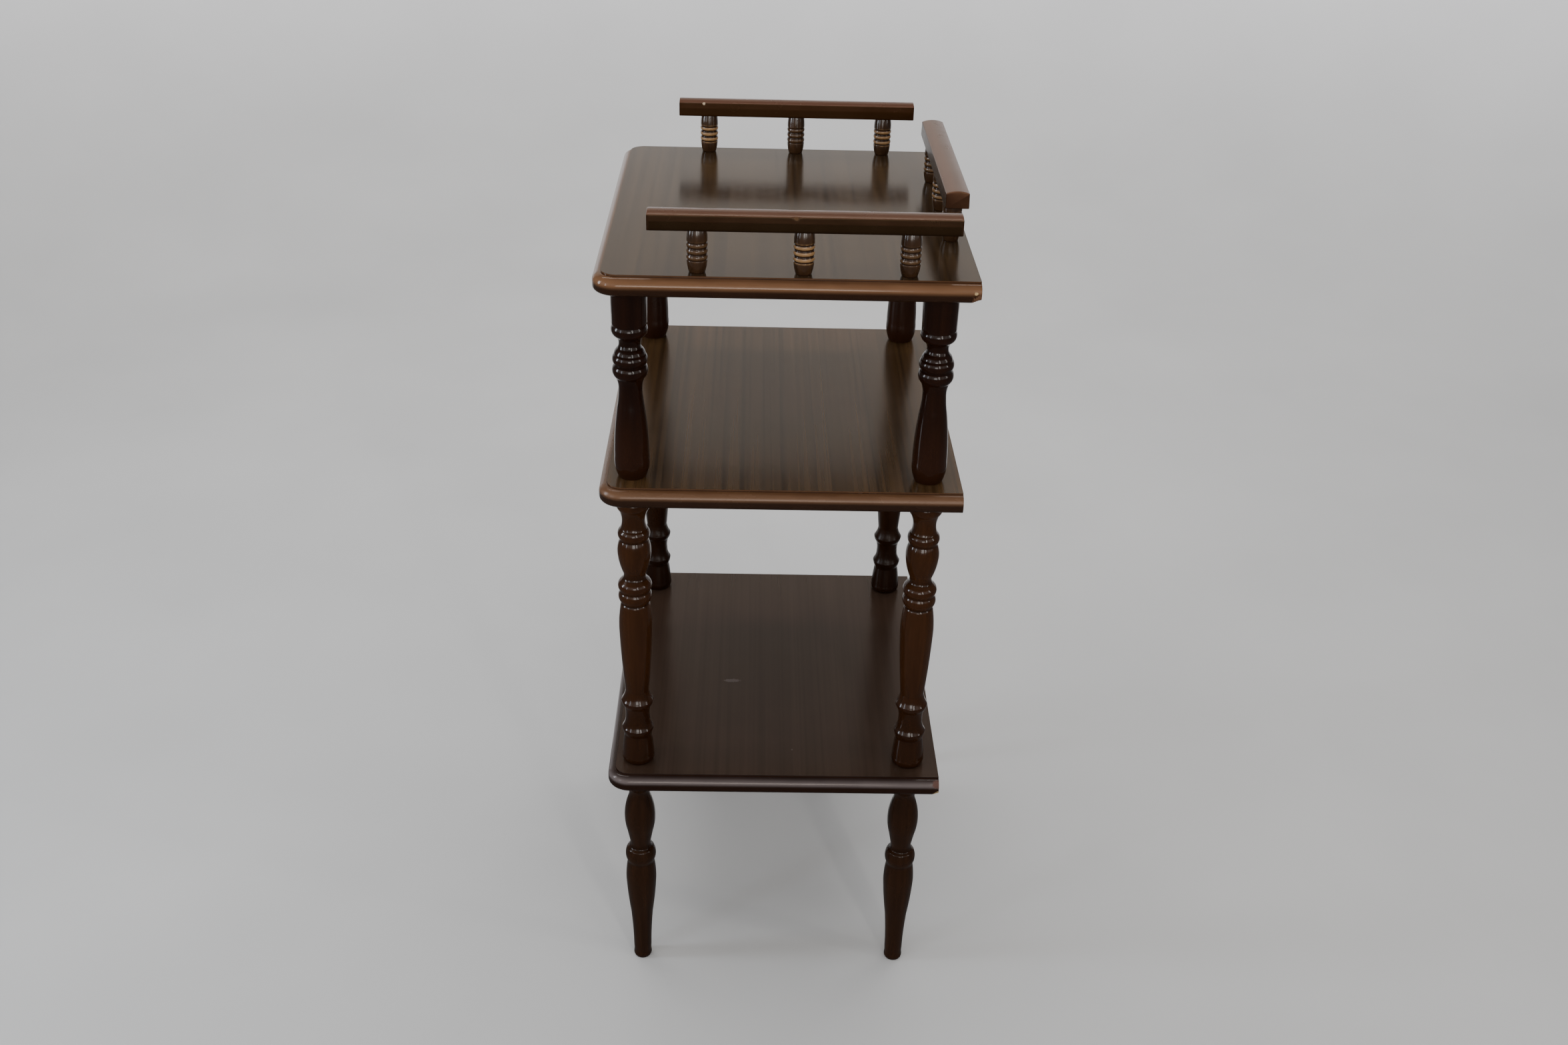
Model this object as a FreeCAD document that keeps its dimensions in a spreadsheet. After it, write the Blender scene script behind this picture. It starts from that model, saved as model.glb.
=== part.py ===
import FreeCAD, Part
import os
import Sketcher

# A three-tier etagere in stained wood: three moulded shelves, turned posts and legs, and a low spindle gallery.
# The feet stand at zero height with the origin midway between them; +Z is up and the plain back edge faces +Y.

# Driving sizes in millimetres: name, value, what it measures.
SIZES = [
    ("shelf_width", 374, "shelf from left to right, over the moulded edge"),
    ("shelf_depth", 300, "shelf from the moulded front to the plain back edge"),
    ("shelf_thickness", 16, "board thickness"),
    ("shelf_corner_radius", 20, "rounding of the two front corners, seen from above"),
    ("edge_step_height", 1.5, "small upright step between the shelf top and its moulding"),
    ("edge_quirk_width", 0.5, "narrow flat at the foot of that step"),
    ("edge_ovolo_radius", 6.5, "quarter round below the step"),
    ("edge_under_radius", 4, "rounding of the moulding's lower edge"),
    ("leg_length", 222, "floor to the underside of the bottom shelf"),
    ("lower_post_length", 274, "bottom shelf to the underside of the middle shelf"),
    ("upper_post_length", 167, "middle shelf to the underside of the top shelf"),
    ("turning_diameter", 29.5, "thickest part of the posts and legs"),
    ("post_side_inset", 32, "shelf side to the post's axis"),
    ("post_end_inset", 27, "shelf front or back to the post's axis"),
    ("screw_diameter", 6, "dowel screws, outside"),
    ("screw_tip_diameter", 1.6, "blunt point of a dowel screw"),
    ("screw_tip_length", 5, "tapered point of a dowel screw"),
    ("screw_post_depth", 24, "length of a dowel screw inside a post or leg"),
    ("screw_blind_depth", 10, "length of a dowel screw inside the top shelf"),
    ("screw_fit_clearance", 0.2, "screw hole wider than the screw"),
    ("screw_end_clearance", 1, "screw hole deeper than the screw"),
    ("spindle_height", 35, "top shelf to the underside of a gallery rail"),
    ("spindle_diameter", 16.6, "gallery spindle over its beads"),
    ("spindle_side_pitch", 82, "spacing of the spindles under a side rail"),
    ("spindle_back_pitch", 81, "spacing of the spindles under the back rail"),
    ("spigot_diameter", 8, "round tenon at each end of a gallery spindle"),
    ("spigot_shelf_depth", 9, "tenon let into the top shelf"),
    ("spigot_rail_depth", 7, "tenon let into a gallery rail"),
    ("spigot_fit_clearance", 0.2, "tenon hole wider than the tenon"),
    ("spigot_end_clearance", 0.6, "tenon hole deeper than the tenon"),
    ("rail_width", 19.4, "gallery rail across"),
    ("rail_side_height", 12.2, "upright side of a gallery rail"),
    ("rail_crown", 2, "rise of the rail's rounded top above its sides"),
    ("rail_edge_easing", 0.7, "small rounding of the rail's edges"),
    ("left_rail_length", 220, "left gallery rail"),
    ("right_rail_length", 240, "right gallery rail, the longer one"),
    ("back_rail_length", 220, "back gallery rail"),
    ("side_rail_inset", 18, "shelf side to a side rail's centre line"),
    ("side_rail_setback", 13.2, "side rails' middle behind the middle of the shelf"),
    ("back_rail_inset", 14.4, "shelf back edge to the back rail's centre line"),
]

SPINDLES_PER_RAIL = 3

# Turned outlines from the lower end to the upper end. A row runs on to its last point, straight where it has one
# point and round through the first where it has two. A point is a share of the length and a share of the radius.
upper_post_shares = [
    [(0.000, 0.780)],
    [(0.030, 0.907), (0.108, 0.985)],
    [(0.240, 0.930), (0.370, 0.772)],
    [(0.425, 0.688), (0.468, 0.660)],
    [(0.508, 0.720), (0.530, 0.812)],
    [(0.558, 0.978), (0.589, 0.920)],
    [(0.593, 0.868)],
    [(0.599, 0.876)],
    [(0.620, 0.966), (0.644, 0.905)],
    [(0.648, 0.848)],
    [(0.652, 0.862)],
    [(0.665, 0.812), (0.681, 0.668)],
    [(0.708, 0.598), (0.747, 0.865)],
    [(0.773, 0.995), (0.797, 0.935)],
    [(0.803, 0.955)],
    [(0.910, 0.982)],
    [(1.000, 0.976)],
]
lower_post_shares = [
    [(0.000, 0.870)],
    [(0.007, 0.950), (0.028, 0.985)],
    [(0.064, 0.925), (0.103, 0.825)],
    [(0.108, 0.845)],
    [(0.123, 0.942), (0.131, 0.957)],
    [(0.146, 0.815), (0.172, 0.733)],
    [(0.195, 0.737), (0.215, 0.815)],
    [(0.229, 0.945), (0.238, 0.968)],
    [(0.252, 0.830), (0.277, 0.712)],
    [(0.400, 0.895), (0.495, 0.985)],
    [(0.545, 0.988), (0.604, 0.860)],
    [(0.608, 0.815)],
    [(0.613, 0.840)],
    [(0.634, 0.985), (0.651, 0.895)],
    [(0.656, 0.895)],
    [(0.672, 0.997), (0.690, 0.850)],
    [(0.699, 0.700)],
    [(0.709, 0.650), (0.722, 0.695)],
    [(0.758, 0.893), (0.792, 0.980)],
    [(0.815, 0.950), (0.837, 0.825)],
    [(0.841, 0.835)],
    [(0.861, 0.930), (0.876, 0.770)],
    [(0.905, 0.678), (0.944, 0.885)],
    [(0.960, 0.996), (0.975, 0.945)],
    [(0.979, 0.963)],
    [(1.000, 0.990)],
]
leg_shares = [
    [(0.000, 0.500)],
    [(0.006, 0.555), (0.022, 0.575)],
    [(0.130, 0.600), (0.260, 0.728)],
    [(0.360, 0.892), (0.446, 0.970)],
    [(0.500, 0.925), (0.535, 0.855)],
    [(0.541, 0.865)],
    [(0.577, 0.968), (0.606, 0.850)],
    [(0.614, 0.700)],
    [(0.624, 0.648), (0.640, 0.655)],
    [(0.700, 0.825)],
    [(0.785, 0.968), (0.880, 0.690)],
    [(0.898, 0.655), (0.937, 0.895)],
    [(0.954, 1.000), (0.971, 0.942)],
    [(0.975, 0.963)],
    [(1.000, 0.990)],
]
spindle_shares = [
    [(0.000, 0.740)],
    [(0.129, 0.894), (0.286, 0.969)],
    [(0.303, 0.919)],
    [(0.360, 1.000), (0.417, 0.919)],
    [(0.443, 0.919)],
    [(0.500, 1.000), (0.557, 0.919)],
    [(0.583, 0.919)],
    [(0.640, 1.000), (0.697, 0.919)],
    [(0.714, 0.975)],
    [(0.871, 0.950), (1.000, 0.863)],
]

# Places worked out from the driving sizes.
POST_ACROSS = "(Sizes.shelf_width / 2 - Sizes.post_side_inset)"
POST_DEEP = "(Sizes.shelf_depth / 2 - Sizes.post_end_inset)"
SIDE_RAIL_ACROSS = "(Sizes.shelf_width / 2 - Sizes.side_rail_inset)"
BACK_RAIL_DEEP = "(Sizes.shelf_depth / 2 - Sizes.back_rail_inset)"
BOTTOM_SHELF_LEVEL = "Sizes.leg_length"
LOWER_POST_LEVEL = f"({BOTTOM_SHELF_LEVEL} + Sizes.shelf_thickness)"
MIDDLE_SHELF_LEVEL = f"({LOWER_POST_LEVEL} + Sizes.lower_post_length)"
UPPER_POST_LEVEL = f"({MIDDLE_SHELF_LEVEL} + Sizes.shelf_thickness)"
TOP_SHELF_LEVEL = f"({UPPER_POST_LEVEL} + Sizes.upper_post_length)"
GALLERY_LEVEL = f"({TOP_SHELF_LEVEL} + Sizes.shelf_thickness)"
RAIL_LEVEL = f"({GALLERY_LEVEL} + Sizes.spindle_height)"
POST_CORNERS = {
    "front_left": (f"-{POST_ACROSS}", f"-{POST_DEEP}"),
    "front_right": (POST_ACROSS, f"-{POST_DEEP}"),
    "back_left": (f"-{POST_ACROSS}", POST_DEEP),
    "back_right": (POST_ACROSS, POST_DEEP),
}


def spindle_offsets(pitch):
    """Distances of a rail's spindles from the middle of the rail."""
    middle = (SPINDLES_PER_RAIL - 1) / 2
    return [f"{pitch} * {number - middle}" for number in range(SPINDLES_PER_RAIL)]


SIDE_OFFSETS = spindle_offsets("Sizes.spindle_side_pitch")
BACK_OFFSETS = spindle_offsets("Sizes.spindle_back_pitch")
SPINDLE_PLACES = {
    "left": [(f"-{SIDE_RAIL_ACROSS}", f"Sizes.side_rail_setback + {offset}") for offset in SIDE_OFFSETS],
    "right": [(SIDE_RAIL_ACROSS, f"Sizes.side_rail_setback + {offset}") for offset in SIDE_OFFSETS],
    "back": [(offset, BACK_RAIL_DEEP) for offset in BACK_OFFSETS],
}


def fill_sheet(doc):
    """Writes the driving sizes into the document's sheet, one row each."""
    sheet = doc.addObject("Spreadsheet::Sheet", "Sizes")
    for row, (name, value, meaning) in enumerate(SIZES, start=1):
        sheet.set(f"A{row}", name)
        sheet.set(f"B{row}", str(value))
        sheet.setAlias(f"B{row}", name)
        sheet.set(f"C{row}", meaning)
    doc.recompute()


def new_body(doc, label, across, deep, level):
    """An empty body whose place follows the sheet."""
    body = doc.addObject("PartDesign::Body", label)
    body.Label = label
    body.setExpression("Placement.Base.x", across)
    body.setExpression("Placement.Base.y", deep)
    body.setExpression("Placement.Base.z", level)
    return body


def new_sketch(body, name, role, lift="0"):
    """A sketch on one of the body's own origin planes, lifted off it along the plane's normal."""
    plane = next(item for item in body.Origin.OriginFeatures if item.Role == role)
    sketch = body.newObject("Sketcher::SketchObject", name)
    sketch.AttachmentSupport = (plane, [""])
    sketch.MapMode = "FlatFace"
    sketch.setExpression("AttachmentOffset.Base.z", lift)
    return sketch


def worth(owner, pair):
    """The point that a pair of size expressions stands for."""
    return FreeCAD.Vector(owner.evalExpression(pair[0]), owner.evalExpression(pair[1]), 0)


def constrain(sketch, rules):
    """Adds the constraints and binds those that have an expression to the sheet."""
    first = sketch.ConstraintCount
    sketch.addConstraint([rule for rule, expression in rules])
    for number, (rule, expression) in enumerate(rules, start=first):
        if expression:
            sketch.setExpression(f"Constraints[{number}]", expression)


def pinned(sketch, geometry, end, pair):
    """Rules that hold one point of a drawn line, arc or circle at a pair of size expressions."""
    place = worth(sketch, pair)
    return [
        (Sketcher.Constraint("DistanceX", -1, 1, geometry, end, place.x), pair[0]),
        (Sketcher.Constraint("DistanceY", -1, 1, geometry, end, place.y), pair[1]),
    ]


def draw_outline(sketch, start, stretches):
    """Draws a closed outline: each stretch ends at its last pair, round where a pair to pass through comes first."""
    rules = []
    begin = worth(sketch, start)
    ends = []
    for stretch in stretches:
        finish = worth(sketch, stretch[-1])
        if len(stretch) == 1:
            geometry = sketch.addGeometry(Part.LineSegment(begin, finish))
            head, tail = 1, 2
        else:
            through = worth(sketch, stretch[0])
            anticlockwise = (through - begin).cross(finish - begin).z > 0
            first, last = (begin, finish) if anticlockwise else (finish, begin)
            geometry = sketch.addGeometry(Part.Arc(first, through, last))
            head, tail = (1, 2) if anticlockwise else (2, 1)
            mark = sketch.addGeometry(Part.Point(through), True)
            rules += pinned(sketch, mark, 1, stretch[0])
            rules.append((Sketcher.Constraint("PointOnObject", mark, 1, geometry), None))
        rules += pinned(sketch, geometry, tail, stretch[-1])
        ends.append((geometry, head, tail))
        begin = finish
    for (before, _, tail), (after, head, _) in zip(ends, ends[1:] + ends[:1]):
        rules.append((Sketcher.Constraint("Coincident", before, tail, after, head), None))
    constrain(sketch, rules)


def revolve(body, sketch):
    """Turns a half outline once round the body's upright axis."""
    turning = body.newObject("PartDesign::Revolution", "Turning")
    turning.Profile = sketch
    turning.ReferenceAxis = (sketch, ["V_Axis"])
    turning.Angle = 360
    body.Document.recompute()


def drill(body, name, places, diameter, depth, level, upwards):
    """Drills round holes into a body, up or down from a level, and makes sure that they bite."""
    before = body.Shape.Volume
    sketch = new_sketch(body, f"{name}_places", "XY_Plane", level)
    rules = []
    for place in places:
        width = sketch.evalExpression(diameter)
        axis = FreeCAD.Vector(0, 0, 1)
        circle = sketch.addGeometry(Part.Circle(worth(sketch, place), axis, width / 2))
        rules += pinned(sketch, circle, 3, place)
        rules.append((Sketcher.Constraint("Diameter", circle, width), diameter))
    constrain(sketch, rules)
    hole = body.newObject("PartDesign::Pocket", name)
    hole.Profile = sketch
    hole.Reversed = upwards
    hole.setExpression("Length", depth)
    body.Document.recompute()
    if not body.Shape.Volume < before:
        raise RuntimeError(f"{name} cuts nothing from {body.Label}")


def moulded_edges(shape, face):
    """Names of the edges round a slab's upper or lower face, all but the one along the plain back edge."""
    rear = max(face.Edges, key=lambda edge: edge.CenterOfMass.y)
    chosen = [edge for edge in face.Edges if not edge.isSame(rear)]
    names = []
    for number, edge in enumerate(shape.Edges, start=1):
        if any(edge.isSame(other) for other in chosen):
            names.append(f"Edge{number}")
    return names


def round_moulding(body, name, base, face, radius):
    """Rounds a slab along its front and sides, round one of its two level faces."""
    rounding = body.newObject("PartDesign::Fillet", name)
    rounding.Base = (base, moulded_edges(base.Shape, face))
    rounding.setExpression("Radius", radius)
    body.Document.recompute()
    return rounding


def pad_board(body, name, inset, height, lift):
    """A board with two round front corners, drawn in from the shelf's front and sides but flush at the back."""
    side = f"(Sizes.shelf_width / 2 - {inset})"
    front = f"(Sizes.shelf_depth / 2 - {inset})"
    back = "Sizes.shelf_depth / 2"
    corner = f"(Sizes.shelf_corner_radius - {inset})"
    cut = f"{corner} * (1 - cos(45))"
    sketch = new_sketch(body, f"{name}_outline", "XY_Plane", lift)
    draw_outline(sketch, (f"-{side}", back), [
        [(f"-{side}", f"-{front} + {corner}")],
        [(f"-{side} + {cut}", f"-{front} + {cut}"), (f"-{side} + {corner}", f"-{front}")],
        [(f"{side} - {corner}", f"-{front}")],
        [(f"{side} - {cut}", f"-{front} + {cut}"), (side, f"-{front} + {corner}")],
        [(side, back)],
        [(f"-{side}", back)],
    ])
    board = body.newObject("PartDesign::Pad", name)
    board.Profile = sketch
    board.setExpression("Length", height)
    body.Document.recompute()
    return board


def make_shelf(doc, label, level):
    """A shelf board: a slab rounded above and below along its moulded edge, with the flat top standing on it."""
    body = new_body(doc, label, "0", "0", level)
    slab_height = "Sizes.shelf_thickness - Sizes.edge_step_height"
    slab = pad_board(body, "Slab", "0", slab_height, "0")
    upper_face = max(slab.Shape.Faces, key=lambda face: face.CenterOfMass.z)
    ovolo = round_moulding(body, "Ovolo", slab, upper_face, "Sizes.edge_ovolo_radius")
    lower_face = min(ovolo.Shape.Faces, key=lambda face: face.CenterOfMass.z)
    round_moulding(body, "Under_edge", ovolo, lower_face, "Sizes.edge_under_radius")
    top_inset = "(Sizes.edge_ovolo_radius + Sizes.edge_quirk_width)"
    pad_board(body, "Flat_top", top_inset, "Sizes.edge_step_height", slab_height)
    return body


def drill_for_screws(body, name, places, depth, level, upwards):
    """Holes for dowel screws: a little wider than the screw."""
    drill(body, name, places, "Sizes.screw_diameter + Sizes.screw_fit_clearance", depth, level, upwards)


def make_top_shelf(doc):
    """The top shelf: blind screw holes below and blind tenon holes for the gallery spindles above."""
    body = make_shelf(doc, "top_shelf", TOP_SHELF_LEVEL)
    depth = "Sizes.screw_blind_depth + Sizes.screw_end_clearance"
    drill_for_screws(body, "Screw_holes", POST_CORNERS.values(), depth, "0", True)
    places = [place for side in SPINDLE_PLACES.values() for place in side]
    width = "Sizes.spigot_diameter + Sizes.spigot_fit_clearance"
    depth = "Sizes.spigot_shelf_depth + Sizes.spigot_end_clearance"
    drill(body, "Spigot_holes", places, width, depth, "Sizes.shelf_thickness", False)
    return body


def make_lower_shelf(doc, label, level):
    """A shelf between two rows of turnings, drilled right through for the screws that join them."""
    body = make_shelf(doc, label, level)
    drill_for_screws(body, "Screw_holes", POST_CORNERS.values(), "Sizes.shelf_thickness", "0", True)
    return body


def turned_stretches(shares, length, diameter, start="0"):
    """The stretches of a turned outline, from its table of shares, above a starting height."""
    return [
        [(f"{diameter} / 2 * {radius_share}", f"{start} + {length} * {height_share}")
         for height_share, radius_share in row]
        for row in shares
    ]


def make_turning(doc, label, place, level, length, shares, drilled_ends):
    """A turned post or leg standing at a shelf's corner, drilled for a dowel screw at the ends that are named."""
    body = new_body(doc, label, place[0], place[1], level)
    sketch = new_sketch(body, "Half_outline", "XZ_Plane")
    stretches = turned_stretches(shares, length, "Sizes.turning_diameter")
    draw_outline(sketch, ("0", "0"), stretches + [[("0", length)], [("0", "0")]])
    revolve(body, sketch)
    depth = "Sizes.screw_post_depth + Sizes.screw_end_clearance"
    for end in drilled_ends:
        level_of_end = "0" if end == "Lower" else length
        drill_for_screws(body, f"{end}_screw_hole", [("0", "0")], depth, level_of_end, end == "Lower")
    return body


def make_spindle(doc, label, place):
    """A beaded gallery spindle with a round tenon at each end; its origin is the lower tenon's end."""
    low = "Sizes.spigot_shelf_depth"
    shoulder = f"({low} + Sizes.spindle_height)"
    high = f"({shoulder} + Sizes.spigot_rail_depth)"
    spigot = "Sizes.spigot_diameter / 2"
    body = new_body(doc, label, place[0], place[1], f"{GALLERY_LEVEL} - {low}")
    sketch = new_sketch(body, "Half_outline", "XZ_Plane")
    stretches = [[(spigot, "0")], [(spigot, low)]]
    stretches += turned_stretches(spindle_shares, "Sizes.spindle_height", "Sizes.spindle_diameter", low)
    stretches += [[(spigot, shoulder)], [(spigot, high)], [("0", high)], [("0", "0")]]
    draw_outline(sketch, ("0", "0"), stretches)
    revolve(body, sketch)
    return body


def make_rail(doc, label, across, deep, length, offsets, turn):
    """A gallery rail with a rounded top, tenon holes below and its edges eased; drawn along Y, then turned."""
    body = new_body(doc, label, across, deep, RAIL_LEVEL)
    body.Placement.Rotation = FreeCAD.Rotation(FreeCAD.Vector(0, 0, 1), turn)
    half = "Sizes.rail_width / 2"
    side = "Sizes.rail_side_height"
    sketch = new_sketch(body, "Section", "XZ_Plane")
    draw_outline(sketch, (f"-{half}", "0"), [
        [(half, "0")],
        [(half, side)],
        [("0", f"{side} + Sizes.rail_crown"), (f"-{half}", side)],
        [(f"-{half}", "0")],
    ])
    bar = body.newObject("PartDesign::Pad", "Bar")
    bar.Profile = sketch
    bar.SideType = "Symmetric"
    bar.setExpression("Length", length)
    doc.recompute()
    easing = body.newObject("PartDesign::Fillet", "Easing")
    easing.Base = (bar, [])
    easing.UseAllEdges = True
    easing.setExpression("Radius", "Sizes.rail_edge_easing")
    doc.recompute()
    places = [("0", offset) for offset in offsets]
    width = "Sizes.spigot_diameter + Sizes.spigot_fit_clearance"
    depth = "Sizes.spigot_rail_depth + Sizes.spigot_end_clearance"
    drill(body, "Spigot_holes", places, width, depth, "0", True)
    return body


def make_screws(doc, label, low_end, length):
    """Four dowel screws, one at each post: a plain shank pointed at both ends."""
    parts = []
    point = {"Height": "Sizes.screw_tip_length"}
    wide = "Sizes.screw_diameter / 2"
    blunt = "Sizes.screw_tip_diameter / 2"
    shank_height = f"{length} - 2 * Sizes.screw_tip_length"
    stages = [
        ("Part::Cone", {"Radius1": blunt, "Radius2": wide, **point}, "0"),
        ("Part::Cylinder", {"Radius": wide, "Height": shank_height}, "Sizes.screw_tip_length"),
        ("Part::Cone", {"Radius1": wide, "Radius2": blunt, **point}, f"{length} - Sizes.screw_tip_length"),
    ]
    for across, deep in POST_CORNERS.values():
        for kind, measures, lift in stages:
            part = doc.addObject(kind, f"{label}_stage")
            for name, expression in measures.items():
                part.setExpression(name, expression)
            part.setExpression("Placement.Base.x", across)
            part.setExpression("Placement.Base.y", deep)
            part.setExpression("Placement.Base.z", lift)
            parts.append(part)
    screws = doc.addObject("Part::MultiFuse", label)
    screws.Label = label
    screws.Shapes = parts
    screws.setExpression("Placement.Base.z", low_end)
    return screws


def make_etagere(doc):
    """Every piece of the etagere, from the top down."""
    through = "(2 * Sizes.screw_post_depth + Sizes.shelf_thickness)"
    blind = "(Sizes.screw_post_depth + Sizes.screw_blind_depth)"
    both_ends = ("Lower", "Upper")
    side_middle = "Sizes.side_rail_setback"
    pieces = [
        make_rail(doc, "gallery_rail_left", f"-{SIDE_RAIL_ACROSS}", side_middle, "Sizes.left_rail_length",
                  SIDE_OFFSETS, 0),
        make_rail(doc, "gallery_rail_right", SIDE_RAIL_ACROSS, side_middle, "Sizes.right_rail_length",
                  SIDE_OFFSETS, 0),
        make_rail(doc, "gallery_rail_back", "0", BACK_RAIL_DEEP, "Sizes.back_rail_length", BACK_OFFSETS, 90),
    ]
    for side, places in SPINDLE_PLACES.items():
        for number, place in enumerate(places, start=1):
            pieces.append(make_spindle(doc, f"gallery_spindle_{side}_{number}", place))
    pieces += [
        make_top_shelf(doc),
        make_lower_shelf(doc, "middle_shelf", MIDDLE_SHELF_LEVEL),
        make_lower_shelf(doc, "bottom_shelf", BOTTOM_SHELF_LEVEL),
    ]
    for corner, place in POST_CORNERS.items():
        pieces += [
            make_turning(doc, f"upper_post_{corner}", place, UPPER_POST_LEVEL, "Sizes.upper_post_length",
                         upper_post_shares, both_ends),
            make_turning(doc, f"lower_post_{corner}", place, LOWER_POST_LEVEL, "Sizes.lower_post_length",
                         lower_post_shares, both_ends),
            make_turning(doc, f"leg_{corner}", place, "0", "Sizes.leg_length", leg_shares, ("Upper",)),
        ]
    reach = "Sizes.screw_post_depth"
    pieces += [
        make_screws(doc, "top_shelf_dowel_screws", f"{TOP_SHELF_LEVEL} - {reach}", blind),
        make_screws(doc, "middle_shelf_dowel_screws", f"{MIDDLE_SHELF_LEVEL} - {reach}", through),
        make_screws(doc, "bottom_shelf_dowel_screws", f"{BOTTOM_SHELF_LEVEL} - {reach}", through),
    ]
    return pieces


def check(doc, pieces):
    """Stops before anything is written if a feature failed or a piece is not a sound solid."""
    for item in doc.Objects:
        if "Invalid" in item.State or "Error" in item.State:
            raise RuntimeError(f"{item.Label} failed: {item.State}")
    for piece in pieces:
        if piece.Shape.isNull() or not piece.Shape.isValid():
            raise RuntimeError(f"{piece.Label} is not a sound shape")
        solids = len(POST_CORNERS) if piece.TypeId == "Part::MultiFuse" else 1
        if len(piece.Shape.Solids) != solids:
            raise RuntimeError(f"{piece.Label} has {len(piece.Shape.Solids)} solids")


def main():
    doc = FreeCAD.newDocument("Etagere")
    fill_sheet(doc)
    pieces = make_etagere(doc)
    doc.recompute()
    check(doc, pieces)
    os.makedirs("parts", exist_ok=True)
    for piece in pieces:
        piece.Shape.exportStep(f"parts/{piece.Label}.step")


main()
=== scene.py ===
import math

import bpy
import numpy as np
from mathutils import Matrix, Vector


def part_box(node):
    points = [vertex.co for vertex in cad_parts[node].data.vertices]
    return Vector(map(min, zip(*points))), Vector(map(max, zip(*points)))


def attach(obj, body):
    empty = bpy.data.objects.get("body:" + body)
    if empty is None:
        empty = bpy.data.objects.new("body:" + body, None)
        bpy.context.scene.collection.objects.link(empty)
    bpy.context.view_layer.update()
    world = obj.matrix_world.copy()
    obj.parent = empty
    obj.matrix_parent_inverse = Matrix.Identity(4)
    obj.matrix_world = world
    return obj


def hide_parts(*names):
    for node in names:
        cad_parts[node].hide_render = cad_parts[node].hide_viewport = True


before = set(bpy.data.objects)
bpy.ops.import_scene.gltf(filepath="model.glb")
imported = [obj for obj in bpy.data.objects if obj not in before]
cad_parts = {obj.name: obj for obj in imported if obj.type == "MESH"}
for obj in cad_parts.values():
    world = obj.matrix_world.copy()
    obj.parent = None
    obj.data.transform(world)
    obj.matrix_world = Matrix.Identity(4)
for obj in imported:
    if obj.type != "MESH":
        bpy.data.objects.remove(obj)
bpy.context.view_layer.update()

MM = 0.001
TOUCH = 0.01 * MM
X, Y, Z = range(3)
SIDES = ("left", "right")
ENDS = ("front", "back")

# Reading the frame

LEVEL_DECIMALS = 5
SECTION_DECIMALS = 6


def node_points(node):
    """The vertices of a CAD node, one row of x, y, z each."""
    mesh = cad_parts[node].data
    flat = np.empty(3 * len(mesh.vertices))
    mesh.vertices.foreach_get("co", flat)
    return flat.reshape(-1, 3)


def turned_profile(node, core_radius):
    """Radius against height of a turned node: the widest point at each level, without its bore or spigots."""
    points = node_points(node)
    low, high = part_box(node)
    axis = (np.array(low) + np.array(high))[:2] / 2
    radius = np.linalg.norm(points[:, :2] - axis, axis=1)
    skin = radius > core_radius
    level, ring = np.unique(np.round(points[skin, Z], LEVEL_DECIMALS), return_inverse=True)
    widest = np.zeros(len(level))
    np.maximum.at(widest, ring, radius[skin])
    return axis, np.stack([widest, level], axis=1)


def edge_profile(node, reach):
    """The moulded edge in section, read at the square back end.

    Each row is an inset from the outline and a height, from the top downwards.
    """
    points = node_points(node)
    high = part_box(node)[1]
    at_back = np.abs(points[:, Y] - high[Y]) < TOUCH
    near_edge = points[:, X] > high[X] - reach
    section = np.unique(np.round(points[at_back & near_edge][:, [X, Z]], SECTION_DECIMALS), axis=0)
    section = section[np.lexsort((section[:, 0], -section[:, 1]))]
    return np.stack([high[X] - section[:, 0], section[:, 1]], axis=1)


# Lines and meshes

SHARP_TURN = math.radians(25)
CREASE = math.radians(38)


def flowing_line(points, spacing):
    """A finer line through profile points, as cubic Hermite spans.

    A gentle turn shares the slope of the circle through its three points. A sharper turn stays a corner.
    """
    span = np.diff(points, axis=0)
    length = np.linalg.norm(span, axis=1, keepdims=True)
    heading = span / length
    turn = np.arccos(np.clip((heading[1:] * heading[:-1]).sum(axis=1), -1, 1))
    gentle = (turn < SHARP_TURN)[:, None]
    shared = heading[1:] * length[:-1] + heading[:-1] * length[1:]
    shared /= np.linalg.norm(shared, axis=1, keepdims=True)
    leaving = np.vstack([heading[:1], np.where(gentle, shared, heading[1:])])
    arriving = np.vstack([np.where(gentle, shared, heading[:-1]), heading[-1:]])
    count = np.maximum(1, np.ceil(length[:, 0] / spacing)).astype(int)
    which = np.repeat(np.arange(len(span)), count)
    step = np.arange(count.sum()) - np.repeat(np.cumsum(count) - count, count)
    t = (step / count[which])[:, None]
    start, end = points[which], points[which + 1]
    pull = length[which]
    line = start * (2 * t**3 - 3 * t**2 + 1) + end * (3 * t**2 - 2 * t**3)
    line += pull * (leaving[which] * (t**3 - 2 * t**2 + t) + arriving[which] * (t**3 - t**2))
    return np.vstack([line, points[-1:]])


def run_length(points):
    """Distance along a line of points, from its first."""
    steps = np.linalg.norm(np.diff(points, axis=0), axis=1)
    return np.concatenate([[0], np.cumsum(steps)])


def relief(radius, level, reach):
    """How proud of its neighbourhood each ring is: radius less its mean under a bell of that reach."""
    share = np.gradient(level)
    bell = np.exp(-0.5 * ((level[:, None] - level[None, :]) / reach) ** 2) * np.abs(share)
    return radius - bell @ radius / bell.sum(axis=1)


def grid_quads(rows, columns, closed):
    """Quads of a grid of points, row after row. A closed grid joins its last column to its first."""
    row = np.arange(rows - 1)[:, None] * columns
    column = np.arange(columns if closed else columns - 1)[None, :]
    after = (column + 1) % columns
    corners = (row + column, row + after, row + columns + after, row + columns + column)
    return np.stack(corners, axis=-1).reshape(-1, 4)


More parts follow.
